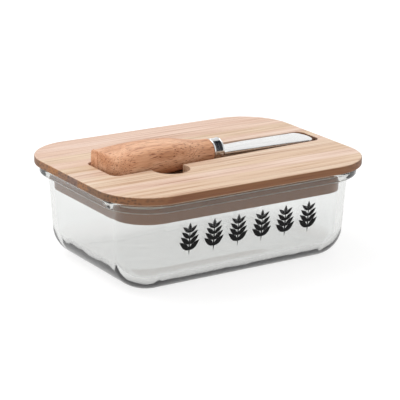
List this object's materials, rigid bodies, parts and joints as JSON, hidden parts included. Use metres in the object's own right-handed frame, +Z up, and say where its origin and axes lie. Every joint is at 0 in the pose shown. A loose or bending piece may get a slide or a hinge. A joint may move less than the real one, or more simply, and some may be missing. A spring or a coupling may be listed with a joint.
{
  "type": "butter dish",
  "caption": "Rectangular glass butter dish with a bamboo lid, a silicone seal ring, and a butter knife that lies in a slot with a finger notch in the lid's top face.",
  "frame": {"origin": "middle of the underside of the glass, on the table, at the centre of the closed dish's footprint", "axes": "+X along the long side, towards the tip of the stored knife; +Y towards the back long side; +Z up. The decorated long side faces -Y."},
  "size_m": [0.17, 0.1254, 0.0703],
  "materials": {
    "glass": "clear pressed glass",
    "bamboo": "sanded, oiled laminated bamboo",
    "silicone": "translucent matte silicone",
    "beech": "sanded, oiled steamed beech",
    "steel": "polished stainless steel"
  },
  "bodies": {
    "dish": {"glass_dish": "glass"},
    "lid": {"lid_stave_01": "bamboo", "lid_stave_02": "bamboo", "lid_stave_03": "bamboo", "lid_stave_04": "bamboo", "lid_stave_05": "bamboo", "lid_stave_06": "bamboo", "lid_stave_07": "bamboo", "lid_stave_08": "bamboo", "lid_stave_09": "bamboo", "lid_stave_10": "bamboo", "seal_ring": "silicone"},
    "knife": {"knife_handle": "beech", "knife_ferrule": "steel", "knife_blade": "steel"}
  },
  "joints": [
    {"name": "lid_lift", "type": "slide", "parent": "dish", "child": "lid", "axis": [0, 0, 1], "range_m": [0, 0.08]},
    {"name": "knife_lift", "type": "slide", "parent": "lid", "child": "knife", "axis": [0, 0, 1], "range_m": [0, 0.05]}
  ]
}
